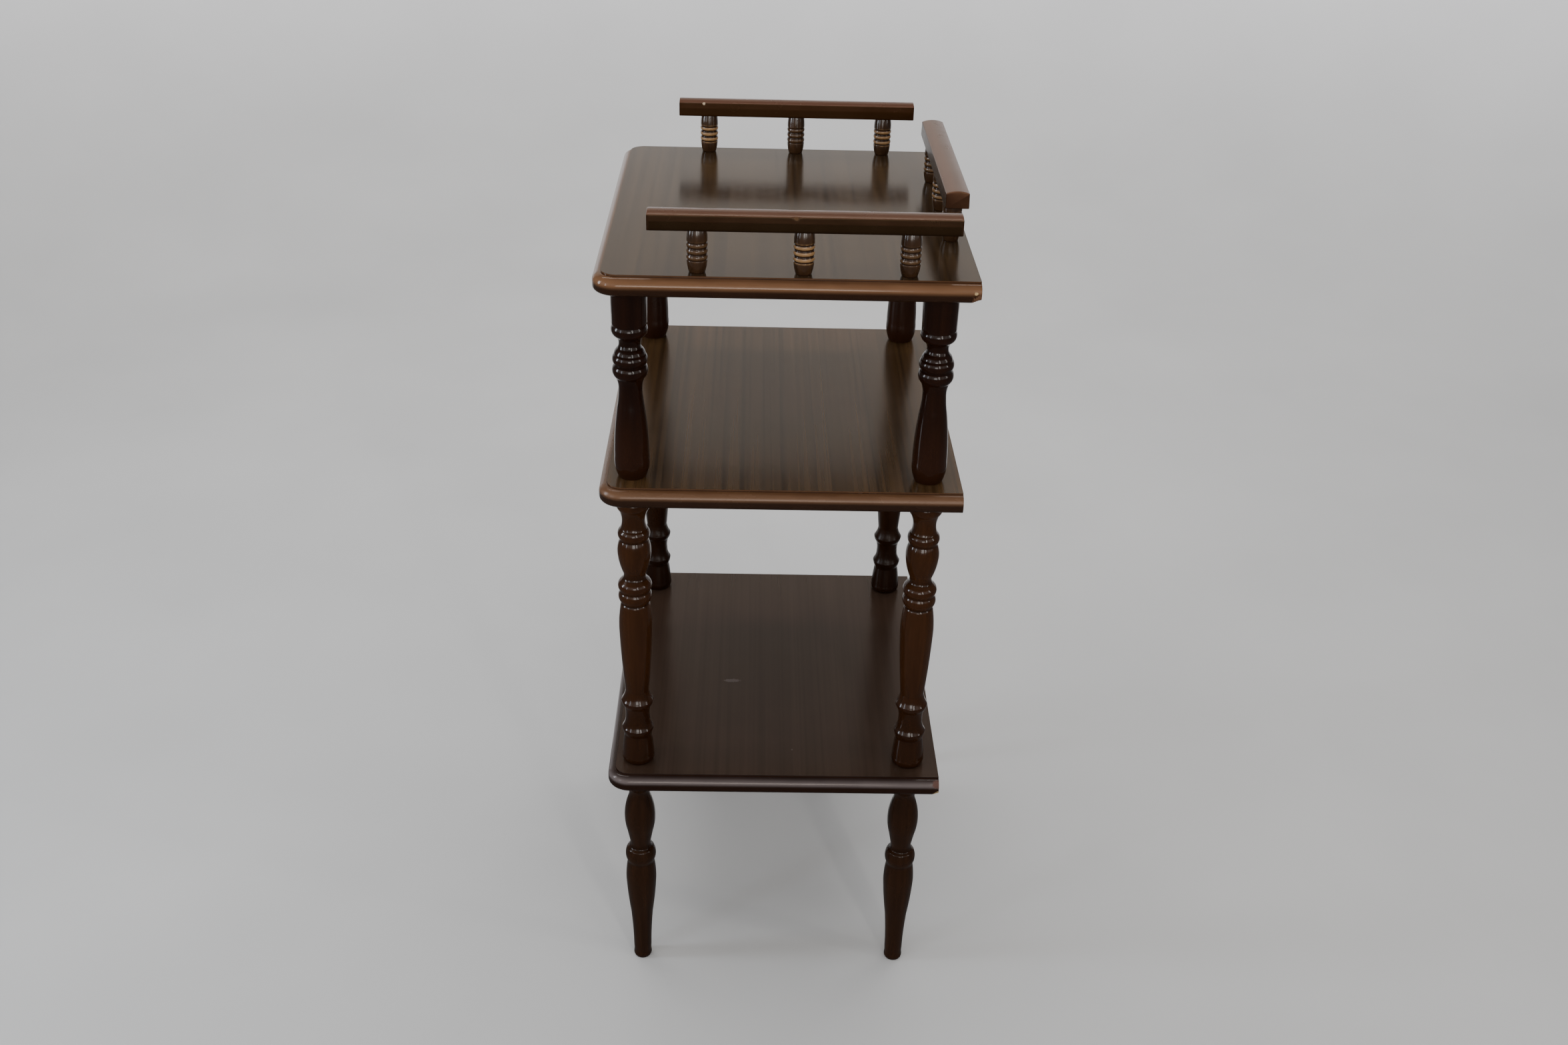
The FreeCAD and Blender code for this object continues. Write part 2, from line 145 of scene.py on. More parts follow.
def add_piece(node, name, finish, points, faces, marks):
    """Makes the mesh of a piece that stands for a CAD node.

    marks holds the mesh's attributes: domain and values by name.
    """
    mesh = bpy.data.meshes.new(name)
    mesh.from_pydata(points.tolist(), [], faces)
    for mark, (domain, values) in marks.items():
        layer = mesh.attributes.new(mark, "FLOAT", domain)
        layer.data.foreach_set("value", np.ascontiguousarray(values, dtype=np.float32))
    mesh.polygons.foreach_set("use_smooth", np.ones(len(mesh.polygons), dtype=bool))
    mesh.set_sharp_from_angle(angle=CREASE)
    mesh.materials.append(finish)
    mesh.update()
    piece = bpy.data.objects.new(name, mesh)
    bpy.context.scene.collection.objects.link(piece)
    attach(piece, "root")
    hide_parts(node)


# Turned posts, legs and spindles

POST_LATHE = {
    "core_radius": 5 * MM,
    "facets": 96,
    "ring_spacing": 0.7 * MM,
    "bead_reach": 3 * MM,
    "bead_depth": 2 * MM,
}
SPINDLE_LATHE = {
    "core_radius": 4.6 * MM,
    "facets": 72,
    "ring_spacing": 0.35 * MM,
    "bead_reach": 1.6 * MM,
    "bead_depth": 0.6 * MM,
}


def turning(node, slot, finish, core_radius, facets, ring_spacing, bead_reach, bead_depth, rubbed=0.0):
    """A turned piece: the node's radius at each height, carried round its axis.

    x = axis x + radius(height) cos(turn), y = axis y + radius(height) sin(turn), z = height.
    The mark relief is a half on plain stretches, more on beads and rings, less in coves and quirks.
    """
    axis, profile = turned_profile(node, core_radius)
    line = flowing_line(profile, ring_spacing)
    radius, level = line[:, 0], line[:, 1]
    turn = np.linspace(0, 2 * np.pi, facets, endpoint=False)
    x = axis[X] + radius[:, None] * np.cos(turn)
    y = axis[Y] + radius[:, None] * np.sin(turn)
    z = np.broadcast_to(level[:, None], x.shape)
    points = np.stack([x, y, z], axis=-1).reshape(-1, 3)
    foot = np.arange(facets)[::-1].tolist()
    head = (np.arange(facets) + (len(level) - 1) * facets).tolist()
    faces = grid_quads(len(level), facets, closed=True).tolist() + [foot, head]
    proud = np.clip(0.5 + relief(radius, level, bead_reach) / (2 * bead_depth), 0, 1)
    share = (level - level[0]) / (level[-1] - level[0])
    marks = {
        "relief": ("POINT", np.repeat(proud, facets)),
        "share": ("POINT", np.repeat(share, facets)),
        "rubbed": ("POINT", np.full(len(points), rubbed)),
    }
    add_piece(node, node + "_turning", finish, points, faces, marks)


# Shelves

EDGE_REACH = 12 * MM
EDGE_SPACING = 0.5 * MM
OUTLINE_SPACING = 1.5 * MM
CORNER_STEPS = 28
MARGIN = 12 * MM
# The reach of the painted shadow in the quirk below a shelf's step.
QUIRK_SHADE_REACH = 0.5 * MM
# The reach of the rubbed wear and painted highlight about a moulding's widest line.
CREST_REACH = 2.8 * MM
# How far below the widest line the painted shade on a moulding's lower half fades in.
UNDER_FADE = 3 * MM
CHIP_WAVES = np.array([2100.0, 1700.0, 2600.0])
CHIP_RAGGEDNESS = 0.25
CHIP_SLANT = 0.7


def board_path(low, high, corner):
    """Stations along the moulded edge, from the back right end round the front to the back left end.

    Gives the points of the line that lies one corner radius inside the outline, and the way outwards at each.
    """
    right, left = high[X] - corner, low[X] + corner
    front, back = low[Y] + corner, high[Y]
    side_count = int((back - front) / OUTLINE_SPACING)
    front_count = int((right - left) / OUTLINE_SPACING)
    inner = np.concatenate([
        np.linspace((right, back), (right, front), side_count, endpoint=False),
        np.full((CORNER_STEPS, 2), (right, front)),
        np.linspace((right, front), (left, front), front_count, endpoint=False),
        np.full((CORNER_STEPS, 2), (left, front)),
        np.linspace((left, front), (left, back), side_count),
    ])
    bend = np.linspace(0, np.pi / 2, CORNER_STEPS, endpoint=False)
    facing = np.concatenate([
        np.zeros(side_count),
        bend,
        np.full(front_count, np.pi / 2),
        np.pi / 2 + bend,
        np.full(side_count, np.pi),
    ])
    return inner, np.stack([np.cos(facing), -np.sin(facing)], axis=1)


def bitten(points, inwards, chips):
    """Points sunk inwards at each chip, by its depth times a ragged smooth falloff from its place.

    A chip is a place, a reach, a depth and the colour of its bare wood.
    """
    for place, reach, depth, _ in chips:
        away = np.linalg.norm(points - np.array(place), axis=-1)
        ragged = 1 + CHIP_RAGGEDNESS * np.sin(points @ CHIP_WAVES)
        fall = np.clip(1 - away * ragged / reach, 0, 1)
        points = points + inwards * (depth * fall**2 * (3 - 2 * fall))[..., None]
    return points


def moulded_board(node, finish, chips, shade_start):
    """A shelf: the moulded edge in section, carried round the front and sides, with flat faces between.

    point = inner line + outwards (corner radius - inset), height from the section.
    shade_start is the share of the painted dark shade on the lower edge that is already there at the widest
    line.
    """
    low, high = (np.array(corner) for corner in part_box(node))
    section = edge_profile(node, EDGE_REACH)
    edge_line = np.maximum(flowing_line(section, EDGE_SPACING), (0, low[Z]))
    margin_top = [[MARGIN, high[Z]]]
    margin_under = [[MARGIN, low[Z]]]
    line = np.vstack([margin_top, edge_line, margin_under])
    outline = node_points(node)
    on_side = outline[np.abs(outline[:, X] - high[X]) < TOUCH]
    corner = on_side[:, Y].min() - low[Y]
    inner, outwards = board_path(low, high, corner)
    flat = inner[None, :, :] + outwards[None, :, :] * (corner - line[:, 0])[:, None, None]
    height = np.broadcast_to(line[:, 1][:, None, None], flat.shape[:2] + (1,))
    points = np.concatenate([flat, height], axis=-1)
    middle = (high[Z] + low[Z]) / 2
    up_or_down = np.sign(middle - points[..., Z:])
    slanted = (np.broadcast_to(-CHIP_SLANT * outwards, flat.shape), CHIP_SLANT * up_or_down)
    points = bitten(points, np.concatenate(slanted, axis=-1), chips)
    rows, columns = points.shape[:2]
    quads = grid_quads(rows, columns, closed=False)
    top = np.arange(columns)[::-1]
    under = np.arange(columns) + (rows - 1) * columns
    back = np.concatenate([np.arange(rows) * columns, np.arange(rows)[::-1] * columns + columns - 1])
    faces = quads.tolist() + [top.tolist(), under.tolist(), back.tolist()]
    quad_row = quads.min(axis=1) // columns
    on_edge = (quad_row > 0) & (quad_row < rows - 2)
    along = run_length(inner + outwards * corner)
    down = run_length(line)
    step_foot = section[1]
    # The quirk below the step is darkened as a painted shadow line.
    away_from_quirk = np.linalg.norm(line - step_foot, axis=1)
    quirk = np.exp(-((away_from_quirk / QUIRK_SHADE_REACH) ** 2))
    widest_level = edge_line[edge_line[:, 0] < TOUCH, 1].max()
    # The lower half of the moulding is darkened as painted shade, fading in below the widest line.
    shaded = np.clip((widest_level - line[:, 1]) / UNDER_FADE + shade_start, 0, 1)
    # The crest mark places rubbed wear and a painted highlight along the widest part of the moulding.
    crest = np.exp(-((line[:, 0] / CREST_REACH) ** 2)) * (1 - shaded)
    marks = {
        "edge": ("FACE", np.concatenate([on_edge, [False, False, False]])),
        "along": ("POINT", np.broadcast_to(along, (rows, columns)).reshape(-1)),
        "down": ("POINT", np.repeat(down, columns)),
        "quirk": ("POINT", np.repeat(quirk, columns)),
        "crest": ("POINT", np.repeat(crest, columns)),
        "under": ("POINT", np.repeat(shaded, columns)),
    }
    add_piece(node, node + "_board", finish, points.reshape(-1, 3), faces, marks)


# Gallery rails

RAIL_EASING = 0.7 * MM
RAIL_CROWN = 2 * MM
RAIL_STATION_SPACING = 1.5 * MM
ARRIS_REACH = 1.2 * MM
EASING_STEPS = 6
CROWN_STEPS = 28
SIDE_STEPS = 10


def rail_section(width, height):
    """The rail in section, anticlockwise: flat underside, upright sides and a crown that is a shallow arc.

    Every arris is eased by a quarter round, or by the part of one that meets the crown's slope.
    """
    half = width / 2
    crown_radius = (half**2 + RAIL_CROWN**2) / (2 * RAIL_CROWN)
    slope = math.asin((half - RAIL_EASING) / crown_radius)
    crown_centre = height - crown_radius
    low_turn = np.linspace(-np.pi / 2, 0, EASING_STEPS)
    low_x = half - RAIL_EASING + RAIL_EASING * np.cos(low_turn)
    low_z = RAIL_EASING + RAIL_EASING * np.sin(low_turn)
    crown_turn = np.linspace(slope, -slope, CROWN_STEPS)
    crown_x = crown_radius * np.sin(crown_turn)
    crown_z = crown_centre + crown_radius * np.cos(crown_turn)
    high_turn = np.linspace(0, np.pi / 2 - slope, EASING_STEPS)[:-1]
    eased_x = crown_x[0] - RAIL_EASING * math.sin(slope)
    eased_z = crown_z[0] - RAIL_EASING * math.cos(slope)
    high_x = eased_x + RAIL_EASING * np.cos(high_turn)
    high_z = eased_z + RAIL_EASING * np.sin(high_turn)
    side_z = np.linspace(low_z[-1], high_z[0], SIDE_STEPS)[1:-1]
    side_x = np.linspace(low_x[-1], high_x[0], SIDE_STEPS)[1:-1]
    right_x = np.concatenate([low_x, side_x, high_x])
    right_z = np.concatenate([low_z, side_z, high_z])
    right = np.stack([right_x, right_z], axis=1)
    crown = np.stack([crown_x, crown_z], axis=1)
    left = right[::-1] * [-1, 1]
    return np.vstack([right, crown, left])


def gallery_rail(node, finish, lengthwise, chips):
    """A gallery rail: its section carried along its length and drawn in by a quarter round at both ends.

    The section's x lies across the rail and its z upwards. At an end it shrinks towards its middle.
    """
    low, high = (np.array(corner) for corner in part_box(node))
    across = X + Y - lengthwise
    width, height = high[across] - low[across], high[Z] - low[Z]
    section = rail_section(width, height)
    bend = np.linspace(0, np.pi / 2, EASING_STEPS)
    easing = RAIL_EASING * (1 - np.sin(bend))
    start = low[lengthwise] + RAIL_EASING * (1 - np.cos(bend))
    finish_run = high[lengthwise] - RAIL_EASING * (1 - np.cos(bend[::-1]))
    count = int((high[lengthwise] - low[lengthwise]) / RAIL_STATION_SPACING)
    middle = np.linspace(start[-1], finish_run[0], count)[1:-1]
    station = np.concatenate([start, middle, finish_run])
    drawn_in = np.concatenate([easing, np.zeros(len(middle)), easing[::-1]])
    shrink_across = 1 - 2 * drawn_in / width
    shrink_up = 1 - 2 * drawn_in / height
    heart = np.zeros(3)
    heart[across] = (low[across] + high[across]) / 2
    heart[Z] = low[Z] + height / 2
    points = np.empty((len(station), len(section), 3))
    points[..., lengthwise] = station[:, None]
    points[..., across] = heart[across] + section[None, :, 0] * shrink_across[:, None]
    points[..., Z] = heart[Z] + (section[None, :, 1] - height / 2) * shrink_up[:, None]
    towards = heart - points
    towards[..., lengthwise] = 0
    towards /= np.linalg.norm(towards, axis=-1, keepdims=True)
    points = bitten(points, towards, chips)
    rows, columns = points.shape[:2]
    quads = grid_quads(rows, columns, closed=True)
    ends = [np.arange(columns)[::-1], np.arange(columns) + (rows - 1) * columns]
    if lengthwise == Y:
        quads = quads[:, ::-1]
        ends = [end[::-1] for end in ends]
    faces = quads.tolist() + [end.tolist() for end in ends]
    from_side = width / 2 - np.abs(section[:, 0])
    arris = np.exp(-((from_side / ARRIS_REACH) ** 2)) * (section[:, 1] > height / 2)
    from_end = np.minimum(station - station[0], station[-1] - station)
    at_end = np.exp(-((from_end / ARRIS_REACH) ** 2))
    worn = np.maximum(arris[None, :], at_end[:, None])
    crown = np.clip((section[:, 1] - height + RAIL_CROWN) / RAIL_EASING + 0.5, 0, 1)
    end_grain = np.zeros(len(faces))
    end_grain[-len(ends):] = 1
    marks = {
        "arris": ("POINT", worn.reshape(-1)),
        "crown": ("POINT", np.tile(crown, rows)),
        "end_grain": ("FACE", end_grain),
    }
    add_piece(node, node + "_moulding", finish, points.reshape(-1, 3), faces, marks)


# Finishes

PATCH_GRIT = (700.0, 3.0, 0.6)
PATCH_RAGGED_SHARE = 0.5
PATCH_FULL_SHARE = 0.7
VARNISH_IOR = 1.5


class Finish:
    """A node material, with a short call for each kind of node. A call gives back the node's output."""

    def __init__(self, name):
        self.material = bpy.data.materials.new(name)
        self.material.use_nodes = True
        self.nodes = self.material.node_tree.nodes
        self.links = self.material.node_tree.links
        self.shader = self.nodes["Principled BSDF"]
        self.place = self.add("ShaderNodeTexCoord").outputs["Object"]

    def put(self, socket, value):
        """Links a socket to another node's output, or sets it to a plain value."""
        if isinstance(value, bpy.types.NodeSocket):
            self.links.new(value, socket)
        else:
            socket.default_value = value

    def add(self, kind, inputs=None, **settings):
        """A node of that kind, with its settings and its inputs by name or number."""
        node = self.nodes.new(kind)
        for setting, value in settings.items():
            setattr(node, setting, value)
        for socket, value in (inputs or {}).items():
            self.put(node.inputs[socket], value)
        return node

    def surface(self, **values):
        """Sets the shader's own sockets. An underscore in a name stands for a space."""
        for name, value in values.items():
            self.put(self.shader.inputs[name.replace("_", " ")], value)

    def mark(self, name):
        """The value of one of the mesh's own attributes."""
        return self.add("ShaderNodeAttribute", attribute_name=name).outputs["Fac"]

    def scaled(self, vector, scale):
        """A vector with each axis scaled."""
        return self.add("ShaderNodeMapping", {"Vector": vector, "Scale": scale}).outputs["Vector"]

    def joined(self, x, y, z):
        """A vector from three values."""
        return self.add("ShaderNodeCombineXYZ", {"X": x, "Y": y, "Z": z}).outputs["Vector"]

    def noise(self, vector, scale, detail, roughness=0.5, distortion=0.0):
        """Smooth noise from 0 to 1, scale to the metre."""
        inputs = {"Vector": vector, "Scale": scale, "Detail": detail, "Roughness": roughness,
                  "Distortion": distortion}
        return self.add("ShaderNodeTexNoise", inputs).outputs["Fac"]

    def ease(self, value, low, high):
        """A smooth step from 0 at low to 1 at high. Low may be the larger."""
        if low < high:
            inputs = {"Value": value, "From Min": low, "From Max": high}
        else:
            inputs = {"Value": value, "From Min": high, "From Max": low, "To Min": 1.0, "To Max": 0.0}
        node = self.add("ShaderNodeMapRange", inputs, interpolation_type="SMOOTHSTEP")
        return node.outputs["Result"]

    def span(self, value, low, high):
        """A value from 0 to 1 spread from low to high."""
        inputs = {"Value": value, "To Min": low, "To Max": high}
        return self.add("ShaderNodeMapRange", inputs).outputs["Result"]

    def calc(self, operation, a, b):
        """Arithmetic on two values."""
        return self.add("ShaderNodeMath", {0: a, 1: b}, operation=operation).outputs["Value"]

    def times(self, a, b):
        """Two values multiplied."""
        return self.calc("MULTIPLY", a, b)

    def blend(self, factor, under, over):
        """One colour laid over another."""
        return self.add("ShaderNodeMix", {0: factor, 6: under, 7: over}, data_type="RGBA").outputs[2]

    def mixed(self, factor, under, over):
        """One value laid over another."""
        return self.add("ShaderNodeMix", {0: factor, 2: under, 3: over}, data_type="FLOAT").outputs[0]

    def ramp(self, value, spread, dark, light):
        """A colour from dark to light as a value goes from a half less the spread to a half more."""
        node = self.add("ShaderNodeValToRGB", {"Fac": value})
        first, last = node.color_ramp.elements
        first.position, first.color = 0.5 - spread, dark
        last.position, last.color = 0.5 + spread, light
        return node.outputs["Color"]

    def patch(self, place, reach, stretch=(1.0, 1.0, 1.0)):
        """A ragged spot round a place: 1 inside, 0 from about its reach. Stretch makes it long or wide."""
        offset = self.add("ShaderNodeVectorMath", {0: self.place, 1: place}, operation="SUBTRACT").outputs[0]
        shrunk = self.scaled(offset, tuple(1 / share for share in stretch))
        away = self.add("ShaderNodeVectorMath", {0: shrunk}, operation="LENGTH").outputs["Value"]
        ragged = PATCH_RAGGED_SHARE * reach
        rough = self.span(self.noise(self.place, *PATCH_GRIT), -ragged, ragged)
        return self.ease(self.calc("ADD", away, rough), reach, PATCH_FULL_SHARE * reach)

    def bump(self, height, distance, strength, under=None):
        """A bump in metres of height, laid over another if one is given."""
        inputs = {"Height": height, "Distance": distance, "Strength": strength}
        if under is not None:
            inputs["Normal"] = under
        return self.add("ShaderNodeBump", inputs).outputs["Normal"]


def rgb(red, green, blue):
    """A colour socket's value from linear red, green and blue."""
    return (red, green, blue, 1.0)


def deepened(colour, share):
    """A deeper colour: the given share of its red, green and blue."""
    return rgb(*(share * part for part in colour[:3]))


# A layer's first value is its scale along the grain as a share of its scale across the grain.
# The others are its noise: scale to the metre, detail, roughness and distortion.
GRAIN_LAYERS = {
    "figure": (0.014, 38.0, 3.0, 0.55, 0.4),
    "streak": (0.007, 170.0, 1.5, 0.5, 0.0),
    "pores": (0.03, 800.0, 3.0, 0.6, 0.0),
    "fibres": (0.007, 320.0, 1.0, 0.5, 0.0),
}


def grain(finish, lengthwise, layer):
    """One layer of a wood's grain along an axis, from 0 to 1: noise drawn out along that axis."""
    along_share, *noise = GRAIN_LAYERS[layer]
    stretch = tuple(along_share if axis == lengthwise else 1.0 for axis in (X, Y, Z))
    return finish.noise(finish.scaled(finish.place, stretch), *noise)


def wood_tone(finish, figure, streak, figure_share, spread, dark, light):
    """Stain between dark and light: a share from the broad figure and the rest from the streaks.

    A smaller spread gives a stronger contrast.
    """
    return finish.ramp(finish.mixed(figure_share, streak, figure), spread, dark, light)


# In the finishes below, a noise is its scale to the metre, its detail and its roughness.
# A pair holds the two ends of a step or a span. A bump is its height and its strength.
WARM_SHEEN = rgb(1.0, 0.90, 0.83)
# Painted shade on the lower half of a shelf's moulding.
UNDER_SHADE = rgb(0.012, 0.005, 0.0028)
UNDER_SHADE_SHARE = 0.9
# Painted shadow in the quirk below the step of a shelf's top.
QUIRK_SHADE = rgb(0.020, 0.007, 0.003)
QUIRK_SHADE_SHARE = 0.95
FIBRE_SHARE = 0.5
VENEER_FIGURE_SHARE = 0.22
VENEER_SPREAD = 0.115
VENEER_CLOUD = (7.0, 3.0)
CLOUD_DEPTH = (0.0, 0.4)
DARK_FIBRES = (0.45, 0.7)
DARK_FIBRE_SHARE = 0.45
EDGE_GRAIN = (700.0, 4.0, 0.6)
EDGE_GRAIN_STRETCH = (0.02, 1.0, 1.0)
EDGE_GRAIN_SHARE = 0.1
EDGE_MOTTLE = (60.0, 3.0, 0.6)
EDGE_MOTTLE_STRETCH = (0.3, 1.0, 1.0)
EDGE_SPREAD = 0.18
# Where rubbed wear and the painted highlight show on a moulding's crest.
CREST_RUB_AND_HIGHLIGHT = (0.4, 0.9)
VENEER_HAZE = (24.0, 4.0, 0.6)
VENEER_DULLING = (-0.05, 0.06)
STREAK_DULLING = (-0.02, 0.04)
EDGE_DULLING = (-0.03, 0.05)
CHIP_FIBRE = (1500.0, 2.0, 0.6)
CHIP_STAIN = (0.0, 0.7)
CHIP_DULLNESS = 0.7
SCUFF_SHARE = 0.2
SCUFF_DULLNESS = 0.9
STREAK_BUMP = (0.02 * MM, 0.5)


def dulled(finish, value, dullness, dulling):
    """A roughness about a dullness, from one end of a dulling to the other as a value goes from 0 to 1."""
    return finish.span(value, dullness + dulling[0], dullness + dulling[1])


def veneer(name, dark, light, edge_dark, edge_light, crest, dullness, edge_dullness, sheen, chips, scuffs):
    """A shelf's finish: straight-grained veneer, a moulded edge with grain along it, bare wood at chips."""
    finish = Finish(name)
    figure, streak, fibres = (grain(finish, X, layer) for layer in ("figure", "streak", "fibres"))
    fine_streak = finish.mixed(FIBRE_SHARE, streak, fibres)
    face = wood_tone(finish, figure, fine_streak, VENEER_FIGURE_SHARE, VENEER_SPREAD, dark, light)
    cloud = finish.noise(finish.place, *VENEER_CLOUD)
    face = finish.blend(finish.span(cloud, *CLOUD_DEPTH), face, dark)
    face = finish.blend(finish.times(finish.ease(fibres, *DARK_FIBRES), DARK_FIBRE_SHARE), face, dark)
    edge_place = finish.joined(finish.mark("along"), finish.mark("down"), 0.0)
    edge_grain = finish.noise(finish.scaled(edge_place, EDGE_GRAIN_STRETCH), *EDGE_GRAIN)
    edge_mottle = finish.noise(finish.scaled(edge_place, EDGE_MOTTLE_STRETCH), *EDGE_MOTTLE)
    edge_tone = finish.mixed(EDGE_GRAIN_SHARE, edge_mottle, edge_grain)
    edge = finish.ramp(edge_tone, EDGE_SPREAD, edge_dark, edge_light)
    # The crest colour is rubbed wear and a painted highlight.
    rub_and_highlight = finish.times(finish.mark("crest"), finish.span(edge_mottle, *CREST_RUB_AND_HIGHLIGHT))
    edge = finish.blend(rub_and_highlight, edge, crest)
    # Painted shade darkens the lower half of the moulding.
    edge = finish.blend(finish.times(finish.mark("under"), UNDER_SHADE_SHARE), edge, UNDER_SHADE)
    # A painted shadow darkens the quirk.
    edge = finish.blend(finish.times(finish.mark("quirk"), QUIRK_SHADE_SHARE), edge, QUIRK_SHADE)
    colour = finish.blend(finish.mark("edge"), face, edge)
    haze = finish.noise(finish.place, *VENEER_HAZE)
    face_dull = dulled(finish, haze, dullness, VENEER_DULLING)
    face_dull = finish.calc("ADD", face_dull, finish.span(streak, *STREAK_DULLING))
    edge_dull = dulled(finish, edge_mottle, edge_dullness, EDGE_DULLING)
    dull = finish.mixed(finish.mark("edge"), face_dull, edge_dull)
    for place, reach, _, bare in chips:
        spot = finish.patch(place, reach)
        fibre = finish.noise(finish.place, *CHIP_FIBRE)
        torn = finish.blend(finish.span(fibre, *CHIP_STAIN), bare, edge_dark)
        colour = finish.blend(spot, colour, torn)
        dull = finish.calc("MAXIMUM", dull, finish.times(spot, CHIP_DULLNESS))
    for place, reach, stretch, pale in scuffs:
        spot = finish.times(finish.patch(place, reach, stretch), SCUFF_SHARE)
        colour = finish.blend(spot, colour, pale)
        dull = finish.calc("MAXIMUM", dull, finish.times(spot, SCUFF_DULLNESS))
    finish.surface(Base_Color=colour, Roughness=dull, Normal=finish.bump(streak, *STREAK_BUMP),
                   IOR=VARNISH_IOR, Specular_IOR_Level=sheen, Specular_Tint=WARM_SHEEN)
    return finish.material


TURNED_FIGURE_SHARE = 0.5
TURNED_SPREAD = 0.14
DARK_PORES = (0.52, 0.68)
DARK_PORE_SHARE = 0.5
BEAD_RELIEF = (0.56, 0.8)
BEAD_RUB_SHARE = 0.7
COVE_RELIEF = (0.44, 0.2)
COVE_STAIN_SHARE = 0.8
FOOT_RUN = (0.42, 0.1)
TURNED_HAZE = (60.0, 4.0, 0.6)
TURNED_DULLING = (-0.04, 0.08)
BEAD_SCUFF = (250.0, 3.0, 0.6)
BEAD_SCUFF_REACH = (-0.1, 0.1)
WORN_RELIEF = (0.5, 0.6)
BEADS_START = (0.24, 0.3)
BEADS_END = (0.76, 0.7)
WORN_STREAKS = (0.0, 0.6)
WORN_DULLING = 0.2
LATHE_RINGS = (700.0, 2.0)
LATHE_STRETCH = (0.02, 0.02, 1.0)
LATHE_BUMP = (0.02 * MM, 0.3)
PORE_BUMP = (0.012 * MM, 0.4)


def turned_stain(name, hollow, dark, light, crest, dullness, sheen, foot=None, bare_wood=None):
    """A turned piece's finish: stain that gathers in quirks and coves and is rubbed on beads.

    foot is the stain towards the foot and its share. bare_wood shows where beads are worn through.
    """
    finish = Finish(name)
    figure, streak, pores = (grain(finish, Z, layer) for layer in ("figure", "streak", "pores"))
    colour = wood_tone(finish, figure, streak, TURNED_FIGURE_SHARE, TURNED_SPREAD, dark, light)
    colour = finish.blend(finish.times(finish.ease(pores, *DARK_PORES), DARK_PORE_SHARE), colour, dark)
    proud = finish.mark("relief")
    colour = finish.blend(finish.times(finish.ease(proud, *BEAD_RELIEF), BEAD_RUB_SHARE), colour, crest)
    colour = finish.blend(finish.times(finish.ease(proud, *COVE_RELIEF), COVE_STAIN_SHARE), colour, hollow)
    height = finish.mark("share")
    if foot is not None:
        foot_tone, foot_share = foot
        colour = finish.blend(finish.times(finish.ease(height, *FOOT_RUN), foot_share), colour, foot_tone)
    dull = dulled(finish, finish.noise(finish.place, *TURNED_HAZE), dullness, TURNED_DULLING)
    if bare_wood is not None:
        scuff = finish.span(finish.noise(finish.place, *BEAD_SCUFF), *BEAD_SCUFF_REACH)
        worn = finish.ease(finish.calc("ADD", proud, scuff), *WORN_RELIEF)
        beads = finish.times(finish.ease(height, *BEADS_START), finish.ease(height, *BEADS_END))
        worn = finish.times(worn, finish.times(beads, finish.mark("rubbed")))
        worn_tone = finish.blend(finish.span(streak, *WORN_STREAKS), bare_wood, light)
        colour = finish.blend(worn, colour, worn_tone)
        dull = finish.calc("ADD", dull, finish.times(worn, WORN_DULLING))
    lathe = finish.noise(finish.scaled(finish.place, LATHE_STRETCH), *LATHE_RINGS)
    skin = finish.bump(pores, *PORE_BUMP, finish.bump(lathe, *LATHE_BUMP))
    finish.surface(Base_Color=colour, Roughness=dull, Normal=skin, IOR=VARNISH_IOR, Specular_IOR_Level=sheen)
    return finish.material


RAIL_SHEEN = rgb(1.0, 0.68, 0.38)
CROWN_DARK = rgb(0.056, 0.024, 0.014)
CROWN_LIGHT = rgb(0.080, 0.036, 0.022)
RAIL_FIGURE_SHARE = 0.5
RAIL_SPREAD = 0.14
RAIL_PORES = (0.5, 0.66)
RAIL_PORE_SHARE = 0.2
END_GRAIN_SHARE = 0.4
RAIL_SCUFF = (150.0, 3.0, 0.6)
RAIL_SCUFF_ALONG_SHARE = 0.2
ARRIS_RUB = (0.0, 0.3)
RAIL_HAZE = (40.0, 4.0, 0.6)
RAIL_DULLNESS = 0.25
RAIL_DULLING = (-0.04, 0.06)
RAIL_BUMP = (0.03 * MM, 0.5)


def rail_finish(name, lengthwise, dark, light, sheen, chips):
    """A gallery rail's finish: dark stain with grain along it, thinner on the crown, bare wood at chips."""
    finish = Finish(name)
    figure, streak, pores = (grain(finish, lengthwise, layer) for layer in ("figure", "streak", "pores"))
    face = wood_tone(finish, figure, streak, RAIL_FIGURE_SHARE, RAIL_SPREAD, dark, light)
    crown = wood_tone(finish, figure, streak, RAIL_FIGURE_SHARE, RAIL_SPREAD, CROWN_DARK, CROWN_LIGHT)
    colour = finish.blend(finish.mark("crown"), face, crown)
    colour = finish.blend(finish.times(finish.ease(pores, *RAIL_PORES), RAIL_PORE_SHARE), colour, dark)
    colour = finish.blend(finish.times(finish.mark("end_grain"), END_GRAIN_SHARE), colour, CROWN_DARK)
    along = tuple(RAIL_SCUFF_ALONG_SHARE if axis == lengthwise else 1.0 for axis in (X, Y, Z))
    scuff = finish.noise(finish.scaled(finish.place, along), *RAIL_SCUFF)
    worn = finish.times(finish.mark("arris"), finish.span(scuff, *ARRIS_RUB))
    colour = finish.blend(worn, colour, CROWN_LIGHT)
    dull = dulled(finish, finish.noise(finish.place, *RAIL_HAZE), RAIL_DULLNESS, RAIL_DULLING)
    for place, reach, _, bare in chips:
        spot = finish.patch(place, reach)
        colour = finish.blend(spot, colour, bare)
        dull = finish.calc("MAXIMUM", dull, finish.times(spot, CHIP_DULLNESS))
    finish.surface(Base_Color=colour, Roughness=dull, Normal=finish.bump(figure, *RAIL_BUMP),
                   IOR=VARNISH_IOR, Specular_IOR_Level=sheen, Specular_Tint=RAIL_SHEEN)
    return finish.material


